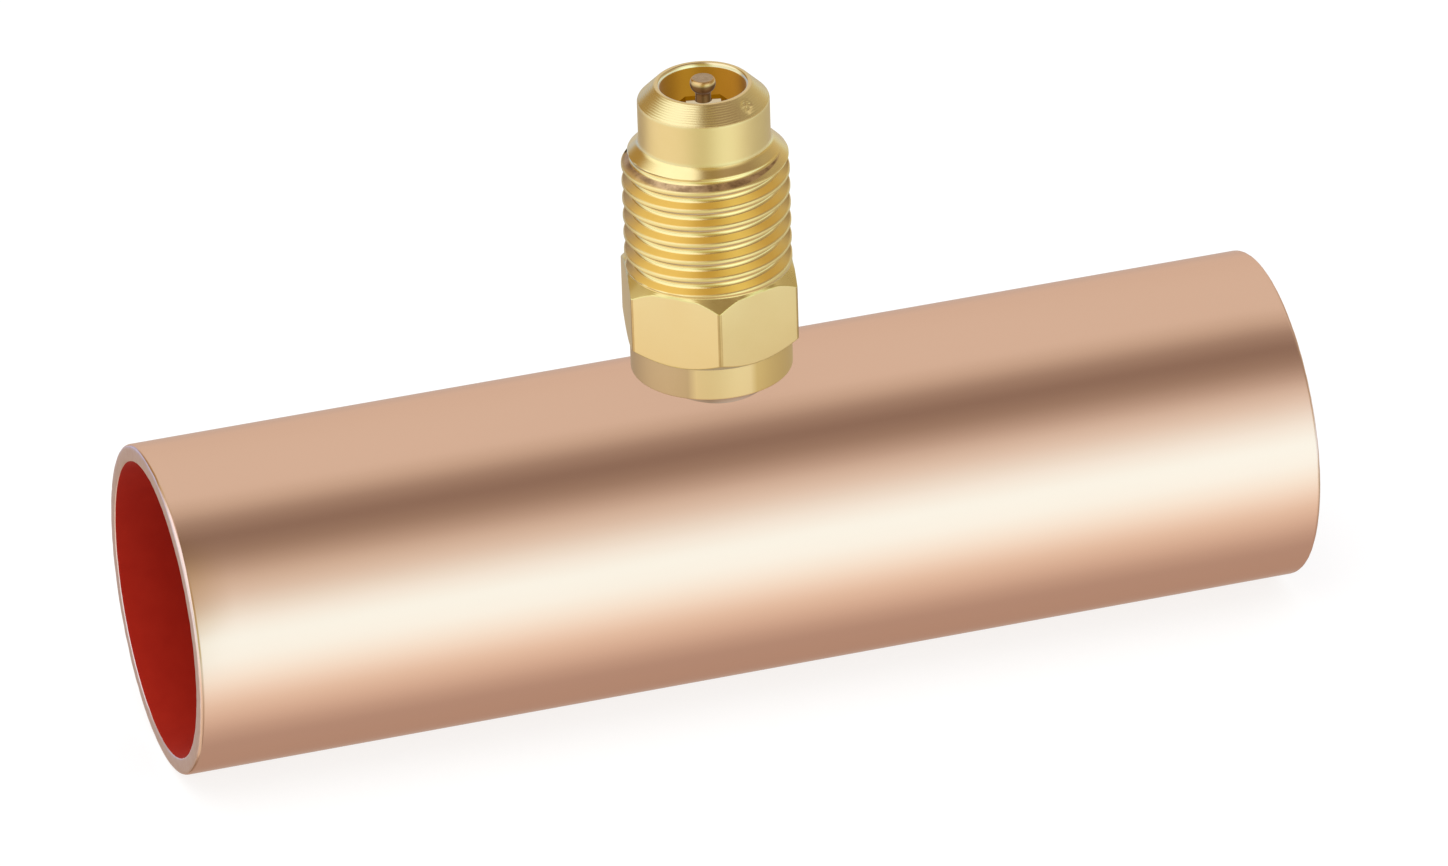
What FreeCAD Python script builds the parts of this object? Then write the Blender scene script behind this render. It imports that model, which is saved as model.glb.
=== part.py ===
import FreeCAD, Part
import Sketcher
import math
import os
from FreeCAD import Placement, Rotation, Vector

# A straight copper refrigeration tube with a brass 1/4 in flare access valve brazed on its middle.
#
# The origin is where the tube's axis and the valve's axis cross. +X runs along the tube and
# +Z runs up the valve. Heights are counted from that origin: upwards from the tube's crown
# to the valve's rim, and then down again from the rim into its bore.

SIZES = (
    ("tube_outer_diameter", 22.225, "7/8 in refrigeration tube"),
    ("tube_wall", 1.14, "0.045 in wall"),
    ("tube_length", 78.0, "end to end"),
    ("tube_end_bevel", 0.25, "filed outer edge of each cut end"),
    ("branch_hole_diameter", 8.0, "drilled in the tube's crown for the spigot"),
    ("spigot_clearance", 0.05, "radial room between spigot and branch hole"),
    ("spigot_setback", 0.15, "the spigot stays this far out of the tube's bore"),
    ("braze_gap", 0.1, "between the tube's crown and the collar's shoulder"),
    ("braze_shoulder_radius", 4.9, "the alloy wets the collar's shoulder out to here"),
    ("braze_foot_radius", 4.2, "and the tube out to here, at the front and back"),
    ("braze_undercut", 0.1, "the face ends this far under the tube's skin"),
    ("braze_hollow", 0.12, "how far the middle of the face lies in from a straight slope"),
    ("collar_diameter", 10.8, "round skirt under the hexagon"),
    ("collar_length", 2.29, "shoulder to hexagon"),
    ("hexagon_across_flats", 11.113, "7/16 in bar"),
    ("hexagon_length", 5.35, "underside to the top of the upper chamfer"),
    ("hexagon_turn", 18.7, "degrees from +X to a corner"),
    ("hexagon_ledge", 0.1, "flat ring between the collar and the lower chamfer"),
    ("lower_chamfer_angle", 38.0, "degrees from level, under the hexagon"),
    ("thread_diameter", 11.07, "7/16-20 UNF, outside"),
    ("thread_pitch", 1.27, "20 threads to the inch"),
    ("thread_angle", 60.0, "degrees, between the flanks"),
    ("thread_crest_width", 0.159, "flat on each crest"),
    ("thread_run_out_angle", 55.0, "degrees, how fast the last half turn leaves the metal"),
    ("thread_length", 9.13, "hexagon to the foot of the nose"),
    ("thread_start", 1.08, "first full groove above the hexagon, at +X"),
    ("thread_overcut", 0.2, "the threading tool stands this far out of the crest"),
    ("thread_shoulder_angle", 50.0, "degrees from level, from the nose's foot out to the thread"),
    ("nose_diameter", 8.752, "plain land above the thread"),
    ("nose_length", 4.05, "foot of the nose to the rim"),
    ("rim_diameter", 6.4, "top of the 45 degree flare cone"),
    ("mouth_diameter", 5.74, "counterbore at the rim"),
    ("mouth_depth", 2.7, "rim to the start of the core's thread"),
    ("core_thread_diameter", 5.2, "0.209-36 core thread, as a plain bore"),
    ("core_thread_length", 3.9, "length of that bore"),
    ("core_thread_clearance", 0.05, "radial room round the plug"),
    ("seat_top_diameter", 4.6, "upper end of the packing's taper"),
    ("seat_length", 2.0, "length of the taper"),
    ("chamber_diameter", 3.9, "bore round the barrel"),
    ("chamber_length", 9.2, "taper to drill point"),
    ("outlet_diameter", 2.5, "hole from the chamber into the tube"),
    ("drill_point_angle", 118.0, "degrees, full cone at the chamber's end"),
    ("plug_setback", 0.3, "plug's ring below the mouth's floor"),
    ("plug_ring_length", 3.3, "screwed part of the plug"),
    ("plug_bore_diameter", 3.9, "inside the plug"),
    ("plug_lip_height", 0.9, "inward lip that traps the barrel's flange"),
    ("bridge_rise", 1.75, "ring's top to bridge's top"),
    ("bridge_top_width", 2.3, "flat on the bridge's top"),
    ("bridge_foot_width", 4.9, "over the two legs"),
    ("bridge_leg_height", 0.72, "straight part of each leg above the ring"),
    ("bridge_metal", 0.6, "each leg and the arch over them"),
    ("bridge_thickness", 1.2, "front to back"),
    ("bridge_turn", -12.0, "degrees from +X, as the core was screwed in"),
    ("swivel_clearance", 0.1, "radial room between plug and barrel"),
    ("swivel_lift", 0.03, "flange above the plug's lip"),
    ("barrel_neck_diameter", 3.0, "through the packing"),
    ("barrel_flange_height", 0.5, "trapped in the plug"),
    ("barrel_shoulder_height", 0.6, "carries the packing"),
    ("barrel_shoulder_diameter", 3.7, "width of that shoulder"),
    ("barrel_diameter", 3.2, "below the shoulder"),
    ("barrel_length", 9.3, "flange's top to seat lip"),
    ("barrel_ledge_height", 0.95, "floor that carries the spring"),
    ("barrel_bore_diameter", 2.2, "round the spring"),
    ("port_diameter", 1.5, "hole in the barrel's floor"),
    ("seat_lip_height", 0.25, "narrow ring that bites the washer"),
    ("seat_lip_width", 0.3, "width of that ring"),
    ("packing_length", 2.0, "tapered seal"),
    ("packing_gap", 0.02, "between the packing and its neighbours"),
    ("pin_diameter", 1.02, "through the bridge"),
    ("pin_clearance", 0.07, "radial running fit in the bridge"),
    ("pin_proud", 0.37, "pin's top above the rim"),
    ("pin_head_diameter", 1.708, "widest part of the head"),
    ("pin_top_diameter", 1.5, "flat on the head"),
    ("pin_head_upper", 0.2, "flat to widest part"),
    ("pin_head_band", 0.42, "height of the widest part"),
    ("pin_head_lower", 0.3, "widest part to neck"),
    ("pin_stem_diameter", 0.9, "below the shoulder"),
    ("pin_shoulder_diameter", 1.9, "rests on the spring"),
    ("pin_shoulder_height", 0.45, "thickness of that shoulder"),
    ("pin_rivet_diameter", 1.5, "spread end under the cup"),
    ("pin_rivet_height", 0.5, "thickness of that end"),
    ("spring_length", 5.2, "ledge to shoulder with the valve shut"),
    ("spring_wire_diameter", 0.26, "steel wire, drawn four-sided"),
    ("spring_mean_diameter", 1.56, "across the coil, between wire centres"),
    ("spring_turns", 5.0, "turns of the coil"),
    ("spring_end_gap", 0.02, "each end of the coil to its seat"),
    ("washer_diameter", 2.6, "rubber seat washer"),
    ("washer_height", 0.9, "thickness"),
    ("washer_clearance", 0.03, "radial room in the cup and on the stem"),
    ("washer_proud", 0.25, "above the cup's edge"),
    ("cup_diameter", 3.2, "outside"),
    ("cup_floor", 0.45, "thickness"),
)

doc = FreeCAD.newDocument("AccessTee")
sheet = doc.addObject("Spreadsheet::Sheet", "Sizes")
for row, (alias, number, note) in enumerate(SIZES, start=1):
    sheet.set(f"A{row}", alias)
    sheet.set(f"B{row}", str(number))
    sheet.set(f"C{row}", note)
    sheet.setAlias(f"B{row}", alias)
doc.recompute()


class Size:
    """A size that knows both its number and the formula over the sheet that gives it."""

    def __init__(self, value, formula):
        self.value = value
        self.formula = formula

    def __add__(self, other):
        other = as_size(other)
        return Size(self.value + other.value, f"({self.formula} + {other.formula})")

    def __sub__(self, other):
        other = as_size(other)
        return Size(self.value - other.value, f"({self.formula} - {other.formula})")

    def __mul__(self, other):
        other = as_size(other)
        return Size(self.value * other.value, f"({self.formula} * {other.formula})")

    def __truediv__(self, other):
        other = as_size(other)
        return Size(self.value / other.value, f"({self.formula} / {other.formula})")

    def __neg__(self):
        return Size(-self.value, f"(0 - {self.formula})")


def as_size(number):
    if isinstance(number, Size):
        return number
    return Size(float(number), str(number))


def size(alias):
    return Size(float(sheet.get(alias)), f"Sizes.{alias}")


def half(alias):
    return size(alias) / 2


def root(measure):
    return Size(math.sqrt(measure.value), f"sqrt({measure.formula})")


def tangent(degrees):
    return Size(math.tan(math.radians(degrees.value)), f"tan({degrees.formula})")


def cosine(degrees):
    return Size(math.cos(math.radians(degrees.value)), f"cos({degrees.formula})")


def sine(degrees):
    return Size(math.sin(math.radians(degrees.value)), f"sin({degrees.formula})")


# Heights of the valve, upwards from the tube's crown
tube_radius = half("tube_outer_diameter")
tube_bore_radius = tube_radius - size("tube_wall")
branch_hole_radius = half("branch_hole_diameter")
spigot_radius = branch_hole_radius - size("spigot_clearance")
spigot_end = tube_bore_radius + size("spigot_setback")
shoulder = tube_radius + size("braze_gap")
hexagon_bottom = shoulder + size("collar_length")
hexagon_top = hexagon_bottom + size("hexagon_length")
nose_foot = hexagon_top + size("thread_length")
rim = nose_foot + size("nose_length")

# Heights in its bore, downwards from the rim
mouth_floor = rim - size("mouth_depth")
core_thread_end = mouth_floor - size("core_thread_length")
seat_end = core_thread_end - size("seat_length")
chamber_end = seat_end - size("chamber_length")
plug_top = mouth_floor - size("plug_setback")
plug_bottom = plug_top - size("plug_ring_length")
bridge_top = plug_top + size("bridge_rise")
flange_bottom = plug_bottom + size("plug_lip_height") + size("swivel_lift")
flange_top = flange_bottom + size("barrel_flange_height")
packing_top = plug_bottom - size("packing_gap")
packing_bottom = packing_top - size("packing_length")
barrel_shoulder = packing_bottom - size("packing_gap")
barrel_waist = barrel_shoulder - size("barrel_shoulder_height")
barrel_end = flange_top - size("barrel_length")
barrel_floor = barrel_end + size("seat_lip_height")
spring_seat = barrel_floor + size("barrel_ledge_height")

# Heights of what the pin carries
pin_top = rim + size("pin_proud")
pin_band_top = pin_top - size("pin_head_upper")
pin_band_bottom = pin_band_top - size("pin_head_band")
pin_neck = pin_band_bottom - size("pin_head_lower")
pin_shoulder = spring_seat + size("spring_length")
washer_bottom = barrel_end - size("washer_height")
cup_edge = barrel_end - size("washer_proud")
cup_bottom = washer_bottom - size("cup_floor")
pin_end = cup_bottom - size("pin_rivet_height")

# Half the bar's width over its corners
bar_corner_radius = half("hexagon_across_flats") / cosine(as_size(30))

# Cutting tools run this far past the metal
BEYOND = 1.0


def new_body(label):
    body = doc.addObject("PartDesign::Body", label)
    body.Label = label
    return body


def origin_plane(body, role):
    return next(plane for plane in body.Origin.OriginFeatures if plane.Role == role)


def new_sketch(body, name, role):
    sketch = body.newObject("Sketcher::SketchObject", name)
    sketch.AttachmentSupport = [(origin_plane(body, role), "")]
    sketch.MapMode = "FlatFace"
    return sketch


def name_constraint(sketch, index, label, measure):
    sketch.renameConstraint(index, label)
    sketch.setExpression(f"Constraints.{label}", measure.formula)


def hold_point(sketch, element, end, across, up, label):
    """Fix one end of a sketch element at its distances across and up from the origin."""
    for kind, measure, axis in (("DistanceX", across, -2), ("DistanceY", up, -1)):
        if isinstance(measure, Size):
            rule = Sketcher.Constraint(kind, -1, 1, element, end, measure.value)
            name_constraint(sketch, sketch.addConstraint(rule), f"{label}_{kind[-1]}", measure)
        else:
            sketch.addConstraint(Sketcher.Constraint("PointOnObject", element, end, axis))


def draw_outline(sketch, corners):
    """Draw a closed outline through corners (across, up). A plain 0 puts a corner on that axis."""
    spots = [Vector(as_size(across).value, as_size(up).value, 0) for across, up in corners]
    sides = []
    for start, finish in zip(spots, spots[1:] + spots[:1]):
        sides.append(sketch.addGeometry(Part.LineSegment(start, finish)))
    for number, (across, up) in enumerate(corners):
        rule = Sketcher.Constraint("Coincident", sides[number - 1], 2, sides[number], 1)
        sketch.addConstraint(rule)
        hold_point(sketch, sides[number], 1, across, up, f"corner_{number}")


def draw_circle(sketch, radius, across=0, up=0):
    centre = Vector(as_size(across).value, as_size(up).value, 0)
    element = sketch.addGeometry(Part.Circle(centre, Vector(0, 0, 1), radius.value))
    hold_point(sketch, element, 3, across, up, f"centre_{element}")
    rule = Sketcher.Constraint("Radius", element, radius.value)
    name_constraint(sketch, sketch.addConstraint(rule), f"radius_{element}", radius)


def draw_polygon(sketch, sides, corner_radius, turn, across=0, up=0):
    """Draw a regular outline, with its first corner turned this many degrees from the right."""
    corners = []
    for number in range(sides):
        angle = turn + 360 / sides * number
        corners.append((corner_radius * cosine(angle) + across, corner_radius * sine(angle) + up))
    draw_outline(sketch, corners)


def settle(body, feature):
    """Recompute, and stop if the newest feature has left the body as it was."""
    doc.recompute()
    before = feature.BaseFeature.Shape.Volume if feature.BaseFeature else 0.0
    if feature.Shape.isNull() or abs(feature.Shape.Volume - before) < 1e-4:
        raise ValueError(f"{feature.Name} changes nothing in {body.Label}")


def revolve(body, kind, name, corners):
    """Turn an outline about +Z: kind is Revolution to add metal and Groove to cut it away."""
    sketch = new_sketch(body, f"{name}Outline", "XZ_Plane")
    draw_outline(sketch, corners)
    feature = body.newObject(f"PartDesign::{kind}", name)
    feature.Profile = sketch
    feature.ReferenceAxis = (sketch, ["V_Axis"])
    feature.Angle = 360
    settle(body, feature)


def pad(body, name, sketch, length, side="Symmetric"):
    feature = body.newObject("PartDesign::Pad", name)
    feature.Profile = sketch
    feature.SideType = side
    feature.setExpression("Length", length.formula)
    settle(body, feature)


def drill(body, name, role, radius, side="One side"):
    """Cut a round hole about the origin, away from one origin plane or to both sides of it."""
    sketch = new_sketch(body, f"{name}Outline", role)
    draw_circle(sketch, radius)
    hole = body.newObject("PartDesign::Pocket", name)
    hole.Profile = sketch
    hole.Type = "ThroughAll"
    hole.SideType = side
    hole.Reversed = side == "One side"
    settle(body, hole)


def bevel_circles(body, name, measure, radius):
    """Bevel every circular edge of one radius."""
    base = body.Tip
    names = []
    for number, edge in enumerate(base.Shape.Edges, start=1):
        if isinstance(edge.Curve, Part.Circle) and abs(edge.Curve.Radius - radius.value) < 1e-4:
            names.append(f"Edge{number}")
    feature = body.newObject("PartDesign::Chamfer", name)
    feature.Base = (base, names)
    feature.setExpression("Size", measure.formula)
    settle(body, feature)


def wind(body, kind, name, sketch, pitch, height, run_out=None):
    """Carry a sketch along a right-hand helix about +Z; with run_out it winds down and outwards."""
    feature = body.newObject(f"PartDesign::{kind}Helix", name)
    feature.Profile = sketch
    feature.ReferenceAxis = (sketch, ["V_Axis"])
    feature.Mode = "pitch-height-angle"
    feature.setExpression("Pitch", pitch.formula)
    feature.setExpression("Height", height.formula)
    if run_out:
        feature.Reversed = True
        feature.setExpression("Angle", run_out.formula)
    settle(body, feature)


def make_run_tube():
    """Drawn copper tube, cut square at both ends, with the branch hole drilled in its crown."""
    body = new_body("run_tube")
    section = new_sketch(body, "TubeSection", "YZ_Plane")
    draw_circle(section, tube_radius)
    draw_circle(section, tube_bore_radius)
    pad(body, "Tube", section, size("tube_length"))
    bevel_circles(body, "EndBevel", size("tube_end_bevel"), tube_radius)
    drill(body, "BranchHole", "XY_Plane", branch_hole_radius)


def make_braze_fillet():
    """Copper-coloured alloy that has run in round the spigot, with a hollow face.

    It joins the level shoulder to the round tube, and stops short of the shoulder's edge.
    """
    body = new_body("braze_fillet")
    foot = size("braze_foot_radius")
    foot_height = root(tube_radius * tube_radius - foot * foot) - size("braze_undercut")
    edge = size("braze_shoulder_radius")
    revolve(body, "Revolution", "Alloy", (
        (branch_hole_radius, foot_height),
        (branch_hole_radius, shoulder),
        (edge, shoulder),
        ((edge + foot) / 2 - size("braze_hollow"), (shoulder + foot_height) / 2),
        (foot, foot_height),
    ))
    drill(body, "Saddle", "YZ_Plane", tube_radius, "Symmetric")


def thread_form(body):
    """Section of one groove of the 60 degree thread: a sharp root, and a flat left for the crest."""
    sketch = new_sketch(body, "ThreadForm", "XZ_Plane")
    pitch = size("thread_pitch")
    crest = half("thread_diameter")
    overcut = size("thread_overcut")
    slope = tangent(half("thread_angle"))
    half_width = (pitch - size("thread_crest_width")) / 2
    tool_half_width = half_width + overcut * slope
    middle = hexagon_top + size("thread_start")
    draw_outline(sketch, (
        (crest + overcut, middle - tool_half_width),
        (crest + overcut, middle + tool_half_width),
        (crest - half_width / slope, middle),
    ))
    return sketch


def make_valve_body():
    """One piece of hexagon brass bar, turned at both ends, bored through and threaded."""
    body = new_body("valve_body")
    bar = new_sketch(body, "BarSection", "XY_Plane")
    draw_polygon(bar, 6, bar_corner_radius, size("hexagon_turn"))
    pad(body, "Bar", bar, rim, "One side")

    # Foot: spigot, collar, and the chamfer under the hexagon
    clear = bar_corner_radius + BEYOND
    collar = half("collar_diameter")
    ledge = collar + size("hexagon_ledge")
    revolve(body, "Groove", "Foot", (
        (0, -as_size(BEYOND)),
        (clear, -as_size(BEYOND)),
        (clear, hexagon_bottom + (clear - ledge) * tangent(size("lower_chamfer_angle"))),
        (ledge, hexagon_bottom),
        (collar, hexagon_bottom),
        (collar, shoulder),
        (spigot_radius, shoulder),
        (spigot_radius, spigot_end),
        (0, spigot_end),
    ))

    # Port: 45 degree chamfer over the hexagon, thread blank, sloping shoulder, nose and 45 degree cone
    blank = half("thread_diameter")
    nose = half("nose_diameter")
    rim_radius = half("rim_diameter")
    revolve(body, "Groove", "Port", (
        (clear, hexagon_top - (clear - blank)),
        (clear, rim + BEYOND),
        (rim_radius, rim + BEYOND),
        (rim_radius, rim),
        (nose, rim - (nose - rim_radius)),
        (nose, nose_foot),
        (blank, nose_foot - (blank - nose) * tangent(size("thread_shoulder_angle"))),
        (blank, hexagon_top),
    ))

    # Thread: full grooves up through the shoulder, and half a turn over the hexagon in
    # which the groove climbs out of the metal
    form = thread_form(body)
    pitch = size("thread_pitch")
    wind(body, "Subtractive", "Thread", form, pitch, size("thread_length") - size("thread_start"))
    wind(body, "Subtractive", "ThreadRunOut", form, pitch, pitch / 2, size("thread_run_out_angle"))

    # Bore: mouth, core thread, packing taper, chamber with its drill point, and outlet
    chamber = half("chamber_diameter")
    outlet = half("outlet_diameter")
    core_thread = half("core_thread_diameter")
    mouth = half("mouth_diameter")
    revolve(body, "Groove", "Boring", (
        (0, rim + BEYOND),
        (0, spigot_end - BEYOND),
        (outlet, spigot_end - BEYOND),
        (outlet, chamber_end - (chamber - outlet) / tangent(half("drill_point_angle"))),
        (chamber, chamber_end),
        (chamber, seat_end),
        (half("seat_top_diameter"), core_thread_end),
        (core_thread, core_thread_end),
        (core_thread, mouth_floor),
        (mouth, mouth_floor),
        (mouth, rim + BEYOND),
    ))


def make_core_plug():
    """Screwed brass ring with a milled bridge over it, which guides the pin.

    A core tool grips the bridge. The gaps on both sides of it let the gas through.
    """
    body = new_body("core_plug")
    outside = half("core_thread_diameter") - size("core_thread_clearance")
    bore = half("plug_bore_diameter")
    lip = half("barrel_neck_diameter") + size("swivel_clearance")
    lip_top = plug_bottom + size("plug_lip_height")
    revolve(body, "Revolution", "Ring", (
        (lip, plug_bottom),
        (outside, plug_bottom),
        (outside, plug_top),
        (bore, plug_top),
        (bore, lip_top),
        (lip, lip_top),
    ))

    metal = size("bridge_metal")
    foot = half("bridge_foot_width")
    top = half("bridge_top_width")
    knee = plug_top + size("bridge_leg_height")
    right = (
        (foot - metal, plug_top),
        (foot, plug_top),
        (foot, knee),
        (top, bridge_top),
    )
    inner_right = (
        (top - metal / 2, bridge_top - metal),
        (foot - metal, knee - metal / 2),
    )
    left = tuple((-across, up) for across, up in reversed(right))
    inner_left = tuple((-across, up) for across, up in reversed(inner_right))
    arch = new_sketch(body, "BridgeOutline", "XZ_Plane")
    draw_outline(arch, right + left + inner_left + inner_right)
    pad(body, "Bridge", arch, size("bridge_thickness"))
    drill(body, "PinHole", "XY_Plane", half("pin_diameter") + size("pin_clearance"))
    body.Placement = Placement(Vector(0, 0, 0), Rotation(Vector(0, 0, 1), 0))
    body.setExpression("Placement.Rotation.Angle", size("bridge_turn").formula)


def make_core_barrel():
    """Turned brass sleeve: flange trapped in the plug, shoulder under the packing, spring bore,
    and at its lower end the narrow lip on which the washer seals."""
    body = new_body("core_barrel")
    port = half("port_diameter")
    lip = port + size("seat_lip_width")
    outside = half("barrel_diameter")
    wide = half("barrel_shoulder_diameter")
    neck = half("barrel_neck_diameter")
    flange = half("plug_bore_diameter") - size("swivel_clearance")
    bore = half("barrel_bore_diameter")
    revolve(body, "Revolution", "Sleeve", (
        (port, barrel_end),
        (lip, barrel_end),
        (lip, barrel_floor),
        (outside, barrel_floor),
        (outside, barrel_waist),
        (wide, barrel_waist),
        (wide, barrel_shoulder),
        (neck, barrel_shoulder),
        (neck, flange_bottom),
        (flange, flange_bottom),
        (flange, flange_top),
        (bore, flange_top),
        (bore, spring_seat),
        (port, spring_seat),
    ))


def make_core_packing():
    """Tapered plastic ring on the barrel's neck, which seals the core in the body's taper."""
    body = new_body("core_packing")
    gap = size("packing_gap")
    chamber = half("chamber_diameter")
    taper = (half("seat_top_diameter") - chamber) / size("seat_length")
    inside = half("barrel_neck_diameter") + gap
    revolve(body, "Revolution", "Ring", (
        (inside, packing_bottom),
        (chamber + (packing_bottom - seat_end) * taper - gap, packing_bottom),
        (chamber + (packing_top - seat_end) * taper - gap, packing_top),
        (inside, packing_top),
    ))


def make_core_pin():
    """Turned pin: head over the bridge, shoulder on the spring, stem and spread end."""
    body = new_body("core_pin")
    shaft = half("pin_diameter")
    widest = half("pin_head_diameter")
    top = half("pin_top_diameter")
    shoulder_radius = half("pin_shoulder_diameter")
    stem = half("pin_stem_diameter")
    rivet = half("pin_rivet_diameter")
    revolve(body, "Revolution", "Pin", (
        (0, pin_end),
        (rivet, pin_end),
        (rivet, cup_bottom),
        (stem, cup_bottom),
        (stem, pin_shoulder),
        (shoulder_radius, pin_shoulder),
        (shoulder_radius, pin_shoulder + size("pin_shoulder_height")),
        (shaft, pin_shoulder + size("pin_shoulder_height")),
        (shaft, pin_neck),
        (widest, pin_band_bottom),
        (widest, pin_band_top),
        (top, pin_top),
        (0, pin_top),
    ))


def make_core_spring():
    """Steel wire wound round the stem, from the barrel's ledge up to the pin's shoulder."""
    body = new_body("core_spring")
    wire = size("spring_wire_diameter")
    gap = size("spring_end_gap")
    rise = size("spring_length") - gap * 2 - wire
    start = spring_seat + gap + wire / 2
    sketch = new_sketch(body, "WireSection", "XZ_Plane")
    draw_polygon(sketch, 4, wire / 2, as_size(0), half("spring_mean_diameter"), start)
    wind(body, "Additive", "Coil", sketch, rise / size("spring_turns"), rise)


def make_core_cup():
    """Pressed brass cup on the stem, open upwards, which carries the seat washer."""
    body = new_body("core_cup")
    room = size("washer_clearance")
    hole = half("pin_stem_diameter") + room
    outside = half("cup_diameter")
    pocket = half("washer_diameter") + room
    revolve(body, "Revolution", "Cup", (
        (hole, cup_bottom),
        (outside, cup_bottom),
        (outside, cup_edge),
        (pocket, cup_edge),
        (pocket, washer_bottom),
        (hole, washer_bottom),
    ))


def make_core_seat_washer():
    """Flat rubber washer that closes the barrel's lower end while the spring holds it up."""
    body = new_body("core_seat_washer")
    hole = half("pin_stem_diameter") + size("washer_clearance")
    outside = half("washer_diameter")
    revolve(body, "Revolution", "Washer", (
        (hole, washer_bottom),
        (outside, washer_bottom),
        (outside, barrel_end),
        (hole, barrel_end),
    ))


make_run_tube()
make_valve_body()
make_braze_fillet()
make_core_plug()
make_core_barrel()
make_core_packing()
make_core_pin()
make_core_spring()
make_core_cup()
make_core_seat_washer()
doc.recompute()

for item in doc.Objects:
    if "Invalid" in item.State or "Error" in item.State:
        raise ValueError(f"{item.Name} failed: {item.State}")
parts = [item for item in doc.Objects if item.isDerivedFrom("PartDesign::Body")]
for part in parts:
    if part.Shape.isNull() or not part.Shape.isValid() or len(part.Shape.Solids) != 1:
        raise ValueError(f"{part.Label} is not one sound solid")

os.makedirs("parts", exist_ok=True)
for part in parts:
    part.Shape.exportStep(f"parts/{part.Label}.step")
    print(f"{part.Label}: {part.Shape.Volume:.3f} mm3")
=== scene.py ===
import math

import bpy
import numpy as np
from mathutils import Matrix, Vector, noise


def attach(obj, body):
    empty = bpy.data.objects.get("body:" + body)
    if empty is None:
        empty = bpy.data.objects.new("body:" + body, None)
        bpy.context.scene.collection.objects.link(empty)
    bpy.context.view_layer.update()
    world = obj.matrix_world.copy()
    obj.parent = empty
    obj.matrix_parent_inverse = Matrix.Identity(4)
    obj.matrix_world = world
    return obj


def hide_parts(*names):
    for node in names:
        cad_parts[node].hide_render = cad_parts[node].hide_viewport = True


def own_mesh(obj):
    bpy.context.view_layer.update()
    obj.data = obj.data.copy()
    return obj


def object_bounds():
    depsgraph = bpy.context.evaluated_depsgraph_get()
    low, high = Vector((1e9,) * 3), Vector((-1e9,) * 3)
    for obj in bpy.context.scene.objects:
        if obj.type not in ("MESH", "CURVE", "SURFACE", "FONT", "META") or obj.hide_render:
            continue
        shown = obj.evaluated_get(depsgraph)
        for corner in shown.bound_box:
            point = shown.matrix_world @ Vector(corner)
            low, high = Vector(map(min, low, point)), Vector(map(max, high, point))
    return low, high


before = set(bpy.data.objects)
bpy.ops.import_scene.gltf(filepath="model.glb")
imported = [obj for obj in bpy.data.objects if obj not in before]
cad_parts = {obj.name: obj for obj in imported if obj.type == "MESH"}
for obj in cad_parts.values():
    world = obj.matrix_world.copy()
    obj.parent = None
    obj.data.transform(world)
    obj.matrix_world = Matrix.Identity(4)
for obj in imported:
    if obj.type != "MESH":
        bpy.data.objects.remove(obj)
solid_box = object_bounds()


# The camera: a long lens, a little above the fitting and to the left of its front,
# leaning slightly as it does in the photograph.
mm = 0.001
camera_azimuth = math.radians(-16.843)
camera_elevation = math.radians(28.436)
camera_roll = math.radians(-1.845)
camera_distance = 813.9 * mm
camera_aim = Vector((0.688, 0.0, 5.699)) * mm
photo_width = 1448
focal_length_in_pixels = 12196.35

towards_camera = Vector((
    math.sin(camera_azimuth) * math.cos(camera_elevation),
    -math.cos(camera_azimuth) * math.cos(camera_elevation),
    math.sin(camera_elevation),
))
level_right = Vector((math.cos(camera_azimuth), math.sin(camera_azimuth), 0.0))
upright = towards_camera.cross(level_right)
right = level_right * math.cos(camera_roll) + upright * math.sin(camera_roll)
up = upright * math.cos(camera_roll) - level_right * math.sin(camera_roll)

lens = bpy.data.cameras.new("product_lens")
lens.sensor_width = 36.0
lens.lens = focal_length_in_pixels / photo_width * lens.sensor_width
lens.clip_start = 0.05
lens.clip_end = 20.0
camera = bpy.data.objects.new("product_camera", lens)
camera.matrix_world = Matrix((right, up, towards_camera)).transposed().to_4x4()
camera.location = camera_aim + towards_camera * camera_distance
bpy.context.scene.collection.objects.link(camera)
bpy.context.scene.camera = camera
bpy.context.scene.view_settings.view_transform = "Standard"


# The surroundings: a white table, a soft lamp overhead that the metal doesn't mirror, and a
# surround that it does. The tube mirrors bands that run along it, and the valve mirrors a pale
# screen to the left, a darker side to the right and a warm gap between them.
def add_node(tree, kind, settings=(), **inputs):
    """Add a shader node, set its options, and fill its sockets by name, or by number as _0 or _1."""
    made = tree.nodes.new(f"ShaderNode{kind}")
    for option, value in dict(settings).items():
        setattr(made, option, value)
    for name, value in inputs.items():
        socket = made.inputs[int(name[1:])] if name[0] == "_" else made.inputs[name.replace("_", " ")]
        if isinstance(value, bpy.types.NodeSocket):
            tree.links.new(value, socket)
        else:
            socket.default_value = value
    return made


def calculate(tree, operation, first, second=0.0, third=0.0):
    """One step of arithmetic on shader values."""
    return add_node(tree, "Math", {"operation": operation}, _0=first, _1=second, _2=third).outputs[0]


def mix(tree, share, first, second, blend="MIX"):
    """Blend two colours, each of them a socket or red, green and blue."""
    first, second = ((*colour, 1.0) if isinstance(colour, tuple) else colour for colour in (first, second))
    return add_node(tree, "MixRGB", {"blend_type": blend}, Fac=share, Color1=first, Color2=second).outputs[0]


def ramp(tree, place, stops):
    """Look up a 0 to 1 value on a ramp of stops, each a position and a colour or a grey."""
    node = add_node(tree, "ValToRGB", Fac=place)
    elements = node.color_ramp.elements
    while len(elements) < len(stops):
        elements.new(1.0)
    for element, (position, colour) in zip(elements, stops):
        element.position = position
        shade = colour if isinstance(colour, tuple) else (colour,) * 3
        element.color = (*shade, 1.0)
    return node.outputs[0]


def round_a_turn(*stops):
    """Ramp stops for a full turn: each angle from -180 to 180 degrees becomes a position."""
    return [((angle + 180.0) / 360.0, colour) for angle, colour in stops]


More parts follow.
